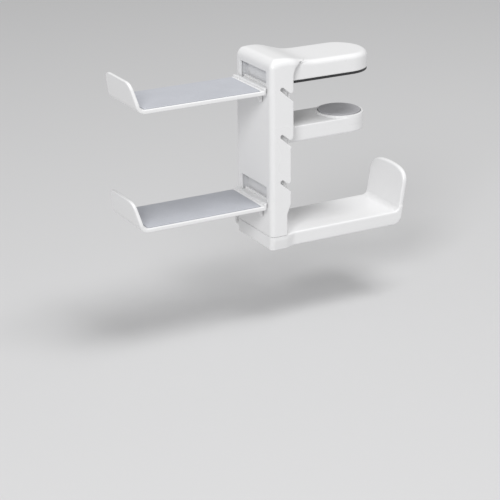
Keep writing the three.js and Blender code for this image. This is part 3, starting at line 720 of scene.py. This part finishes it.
def jaw_carriage(x, y, z):
    abs_x = np.abs(x)
    body = meet(rectangle(x, y, 0, 10.725, 15.7, 2.925, 1.0), between(z, 72.4, 88.4), 0.45)
    body = carve(body, disc(abs_x, y, ROD_X, ROD_Y, 1.95), 0.2)
    body = carve(body, disc(abs_x, z, JAW_SCREW_X, JAW_SCREW_Z, CLEARANCE), 0.1)
    head = disc(abs_x, z, JAW_SCREW_X, JAW_SCREW_Z, 2.9)
    return carve(body, np.maximum(head, y - 10.2), 0.2)


# ------------------------------------------------------------------ fields of the trays
# Written with z = 0 on the tray's underside.
# right half of the upturned end's outline: x, z
LIP = [[22.8, -10]] + spline([[22.8, 5.5], [22.3, 7.8], [20.1, 15.6], [19.3, 17.8],
                              [18.0, 19.6], [16.0, 20.9], [13.2, 21.5]], 6).tolist()
LIP_OUTLINE = LIP + [[-a, b] for a, b in LIP[::-1]]
# side view of the two legs under the post end: y, z
LEG = [[-0.4, 1.5], [-6.3, 1.5], [-4.8, -1], [-2.2, -6.7], [-0.4, -7.2]]


def tray(x, y, z):
    abs_x = np.abs(x)
    # floor and leaning lip
    lean = 0.242
    norm = math.sqrt(1 + lean ** 2)
    outer = ((-98.75 - lean * (z - 4.2)) - y) / norm
    inner = (y - (-96.3 - lean * (z - 5.0))) / norm
    body = np.maximum(meet(outer, -z, 5.2), join(z - 3.0, inner, 2.4))
    body = meet(body, polygon(x, z, LIP_OUTLINE), 0.9)
    body = meet(body, abs_x - TRAY_HALF, 0.9)
    round_back = meet(abs_x - TRAY_HALF, y + 0.4, 4.0)
    body = meet(body, round_back, 0.5)
    recess = rectangle(x, y, 0, TRAY_MID_Y, 21.0, 43.85, 1.5)
    body = carve(body, np.maximum(recess, 2.2 - z), 0.25)

    # bar along the post end, with two notches
    bar = block(x, y, z, (-TRAY_HALF, TRAY_HALF), (-3.6, -0.4), (1.0, 4.6), 0.6)
    body = meet(join(body, bar, 0.3), round_back, 0.5)
    notch = block(abs_x, y, z, (13.55, 14.45), (-5.4, 1.0), (3.2, 9.0), 0.25)
    body = carve(body, notch, 0.2)

    # neck through the window, ending in an upright plate
    neck = block(x, y, z, (-17.6, 17.6), (-1, 3.2), (1.4, 3.8), 0.3)
    plate = block(x, y, z, (-17.6, 17.6), (2.55, 4.3), (-3.4, 5.4), 0.4)
    body = join(body, np.minimum(neck, plate), 0.3)
    leg = meet(polygon(y, z, LEG), np.abs(abs_x - 13.0) - 1.2, 0.35)
    return join(body, leg, 0.5)


def tray_mat(x, y, z):
    plan = rectangle(x, y, 0, TRAY_MID_Y, 20.7, 43.55, 1.4)
    return meet(plan, between(z, 2.25, 3.5), 0.42)


# ------------------------------------------------------------------ build the modelled pieces
def register(item, name, body):
    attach(item, body)
    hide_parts(name.lower())


def piece(name, body, slot, *shape, **move):
    register(model(name, *shape, slot=slot, **move), name, body)


def piece_pair(name, bodies, slot, *shape, **move):
    """An upper piece and its copy one pitch below."""
    names = (name + "_upper", name + "_lower")
    upper = model(names[0], *shape, slot=slot, **move)
    mesh = upper.data.copy()
    mesh.name = names[1]
    lower = add_object(names[1], mesh)
    mesh.transform(Matrix.Translation(Vector((0, 0, -PITCH)) / 1000))
    for item, item_name, body in zip((upper, lower), names, bodies):
        register(item, item_name, body)


# name, body, slot, field, low corner, high corner, grid cell, share of faces kept
piece("Housing", "frame", "white_shell", housing,
      (-HALF_WIDTH, 0, 10), (HALF_WIDTH, ARM_TIP, 140), 0.62, 0.5)
piece("Headphone_hook", "frame", "white_shell", headphone_hook,
      (-32.6, 0, 0), (HALF_WIDTH, 116.8, 41.8), 0.6, 0.5)
piece("Rear_cover", "frame", "white_shell", rear_cover,
      (-23.25, 7.7, 10.5), (23.25, 18.2, 119), 0.55, 0.5)
piece("Arm_underplate", "frame", "white_shell", underplate,
      (-18.0, 16.3, 119.8), (18.0, 86.6, 127), 0.55, 0.5)
# the top pad's near-black colour is painted shadow under the arm
piece("Top_pad", "frame", "dark_rubber", top_pad,
      (-20.4, 18.5, 118), (20.4, 89.0, 119.5), 0.4, 0.5)
piece("Jaw_arm", "jaw", "white_shell", jaw_arm,
      (-17.3, 13.9, 74.4), (17.3, 87.3, 87.2), 0.5, 0.5)
piece("Jaw_pad", "jaw", "grey_rubber", jaw_pad,
      (-15.2, 54.8, 85), (15.2, 85.2, 88), 0.4, 0.6)
piece("Jaw_carriage", "jaw", "inner_plastic", jaw_carriage,
      (-15.7, 7.8, 72.4), (15.7, 13.7, 88.4), 0.45, 0.6)

TRAY_BODIES = ("upper_tray", "lower_tray")
piece_pair("Tray", TRAY_BODIES, "white_tray", tray,
           (-TRAY_HALF, -102.9, -7.3), (TRAY_HALF, 4.4, 21.6), 0.42, 0.42, shift=(0, 0, TRAY_Z))
piece_pair("Tray_mat", TRAY_BODIES, "tray_mat", tray_mat,
           (-20.7, -92.7, 2.2), (20.7, -5.5, 3.5), 0.42, 0.5, shift=(0, 0, TRAY_Z))
piece_pair("Pocket", ("frame", "frame"), "inner_plastic", pocket,
           (-20.6, 2.4, 108.9), (20.6, 7.4, 130.7), 0.45, 0.6)
piece("Rod_bracket_lower", "frame", "inner_plastic", rod_bracket((36.4, 39.6), (37.2, 41)),
      (-15.7, 7.8, 36.4), (15.7, 13.9, 39.6), 0.45, 0.6)
piece("Rod_bracket_upper", "frame", "inner_plastic", rod_bracket((103.6, 107), (102, 106.4)),
      (-15.7, 7.8, 103.6), (15.7, 13.9, 107), 0.45, 0.6)

# ------------------------------------------------------------------ guide rods and springs
SIDES = (("left", -1), ("right", 1))
ROD_BOTTOM, ROD_LENGTH, ROD_RADIUS = 37.5, 68.6, 1.8
# rounded rod end: radius, distance from the end
ROD_END = [(0, 0), (1.35, 0), (1.5, 0.04), (1.72, 0.25), (ROD_RADIUS, 0.5)]
COIL_RADIUS, WIRE_RADIUS = 2.7, 0.4
COIL_BOTTOM, COIL_TOP = 39.6 + 0.5, 72.3 - WIRE_RADIUS
COIL_TURNS, TURN_STEPS, WIRE_SIDES = 8.5, 40, 12
END_RISE = 0.85  # of the closed turn at each end


def turned(profile, count=40):
    """Solid of revolution about z from (radius, z) points that start and end on the axis."""
    points, faces, rings = [], [], []
    for radius, z in profile:
        size = count if radius else 1
        rings.append(list(range(len(points), len(points) + size)))
        for i in range(size):
            angle = 2 * math.pi * i / count
            points.append((radius * math.cos(angle), radius * math.sin(angle), z))
    for low, high in zip(rings, rings[1:]):
        for i in range(count):
            j = (i + 1) % count
            if len(low) == 1:
                faces.append((low[0], high[j], high[i]))
            elif len(high) == 1:
                faces.append((low[i], low[j], high[0]))
            else:
                faces.append((low[i], low[j], high[j], high[i]))
    return points, faces


def coil_height(turn):
    if turn < 1:
        return COIL_BOTTOM + END_RISE * turn
    if turn > COIL_TURNS - 1:
        return COIL_TOP - END_RISE * (COIL_TURNS - turn)
    rise = COIL_TOP - COIL_BOTTOM - 2 * END_RISE
    return COIL_BOTTOM + END_RISE + rise * (turn - 1) / (COIL_TURNS - 2)


def coil():
    """Compression spring with closed end turns."""
    steps = int(COIL_TURNS * TURN_STEPS)
    points, faces = [], []
    for i in range(steps + 1):
        turn = i / TURN_STEPS
        angle = 2 * math.pi * turn
        for j in range(WIRE_SIDES):
            around = 2 * math.pi * j / WIRE_SIDES
            radius = COIL_RADIUS + WIRE_RADIUS * math.cos(around)
            points.append((math.cos(angle) * radius, math.sin(angle) * radius,
                           coil_height(turn) + WIRE_RADIUS * math.sin(around)))
    for i in range(steps):
        here, ahead = i * WIRE_SIDES, (i + 1) * WIRE_SIDES
        for j in range(WIRE_SIDES):
            k = (j + 1) % WIRE_SIDES
            faces.append((here + j, ahead + j, ahead + k, here + k))
    last = steps * WIRE_SIDES
    faces.append(tuple(range(WIRE_SIDES)))
    faces.append(tuple(range(last + WIRE_SIDES - 1, last - 1, -1)))
    return points, faces


rod_profile = (ROD_END + [(ROD_RADIUS, 1.0 + 66.6 * i / 24) for i in range(25)]
               + [(radius, ROD_LENGTH - z) for radius, z in reversed(ROD_END)])
for side, sign in SIDES:
    x = sign * ROD_X
    name = "Guide_rod_" + side
    rod = plain(name, *turned(rod_profile), "steel", (x, ROD_Y, ROD_BOTTOM))
    register(rod, name, "frame")
    spring = plain("Spring_" + side, *coil(), "steel", (x, ROD_Y, 0))
    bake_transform(spring)
    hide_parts("spring_" + side)


# ------------------------------------------------------------------ screws
def screw(name, body, size, at, degrees=0):
    """A cross-head screw pointing along z from its head, turned about x and put at a point."""
    length, head_radius, head_height = size

    def field(x, y, z):
        radius = np.sqrt(x * x + y * y)
        head = meet(radius - head_radius, between(z, 0.0, head_height), 0.35)
        shank = meet(radius - 1.1, between(z, head_height - 0.3, length), 0.35)
        half = 0.36 + 0.12 * np.clip(-z + 0.9, 0, 1)  # the cross narrows with depth
        reach = head_radius * 0.6
        cross = np.minimum(np.maximum(np.abs(x) - half, np.abs(y) - reach),
                           np.maximum(np.abs(y) - half, np.abs(x) - reach))
        cross = np.maximum(cross, z - min(1.0, head_height * 0.75))
        return carve(join(head, shank, 0.15), cross, 0.08)

    place = Matrix.Translation(at) @ Matrix.Rotation(math.radians(degrees), 4, "X")
    piece(name, body, "steel", field, (-head_radius, -head_radius, 0),
          (head_radius, head_radius, length), 0.24, 0.6, place=place)


# length, head radius, head height
COVER_SCREW = (10, 2.2, 1.6)
PLATE_SCREW = (8.4, 2.5, 0.8)
JAW_SCREW = (13.2, 2.5, 1.8)
HOOK_SCREW = (15.4, 2.6, 2.0)

for level, (height, depth) in zip(("upper", "lower"), reversed(COVER_BOSSES)):
    for side, sign in SIDES:
        screw("Cover_screw_%s_%s" % (level, side), "frame", COVER_SCREW,
              (sign * BOSS_X, depth - 0.2, height), degrees=90)
for end, y in zip(("front", "rear"), PLATE_SCREW_Y):
    screw("Underplate_screw_" + end, "frame", PLATE_SCREW, (0, y, 119.85))
for side, sign in SIDES:
    screw("Jaw_screw_" + side, "jaw", JAW_SCREW,
          (sign * JAW_SCREW_X, 8.1, JAW_SCREW_Z), degrees=-90)
for side, sign in SIDES:
    screw("Hook_screw_" + side, "frame", HOOK_SCREW, (sign * HOOK_SCREW_X, HOOK_SCREW_Y, 1.6))

# ------------------------------------------------------------------ floor, light, camera
FLOOR_Z = -0.118 - 0.055
FLOOR_HALF = 6.0


def floor_material():
    """Matt grey from above; clear from below, so the underside can be seen."""
    s = Shader("floor")
    s.wire(s.surface, Base_Color=(0.64, 0.64, 0.645, 1), Roughness=0.9)
    geometry = s.add("ShaderNodeNewGeometry")
    clear = s.add("ShaderNodeBsdfTransparent")
    either = s.add("ShaderNodeMixShader")
    sources = (geometry.outputs["Backfacing"], s.surface.outputs["BSDF"], clear.outputs["BSDF"])
    for source, socket in zip(sources, either.inputs):
        s.tree.links.new(source, socket)
    s.wire(s.tree.nodes["Material Output"], Surface=either.outputs["Shader"])
    return s.material


floor_mesh = bpy.data.meshes.new("Floor")
floor_mesh.from_pydata([(i * FLOOR_HALF, j * FLOOR_HALF, FLOOR_Z)
                        for i, j in ((-1, -1), (1, -1), (1, 1), (-1, 1))], [], [(0, 1, 2, 3)])
floor = add_object("Floor", floor_mesh)
floor_mesh.materials.append(floor_material())

scene = bpy.context.scene
world = bpy.data.worlds.new("World")
scene.world = world
world.use_nodes = True
background = world.node_tree.nodes["Background"]
background.inputs["Color"].default_value = (1.0, 1.0, 1.0, 1)
background.inputs["Strength"].default_value = 0.42
scene.view_settings.view_transform = "Standard"


def lamp(name, at, target, size, power):
    """A square area light aimed at target."""
    light = bpy.data.lights.new(name, "AREA")
    light.shape = "RECTANGLE"
    light.size = light.size_y = size
    light.energy = power
    item = add_object(name, light)
    item.location = at
    item.rotation_mode = "QUATERNION"
    item.rotation_quaternion = (Vector(target) - Vector(at)).to_track_quat("-Z", "Y")


lamp("Top", at=(0.5, 0.3, 2.0), target=(0, 0, -0.02), size=1.0, power=23)
lamp("Key", at=(1.45, -1.5, 1.2), target=(0, 0, -0.05), size=0.8, power=25)

lens = bpy.data.cameras.new("Camera")
lens.sensor_width = 36
lens.lens = 122.775
lens.clip_start, lens.clip_end = 0.01, 50
camera = add_object("Camera", lens)
# the camera's own axes; right is squared up to back
right = Vector((0.47820, 0.87821, -0.00858)).normalized()
back = Vector((0.82144, -0.44379, 0.35818)).normalized()
up = back.cross(right).normalized()
right = up.cross(back).normalized()
turn = Matrix((right, up, back)).transposed()
camera.matrix_world = Matrix.Translation((1.00239, -0.59799, 0.31252)) @ turn.to_4x4()
scene.camera = camera

bpy.context.view_layer.update()
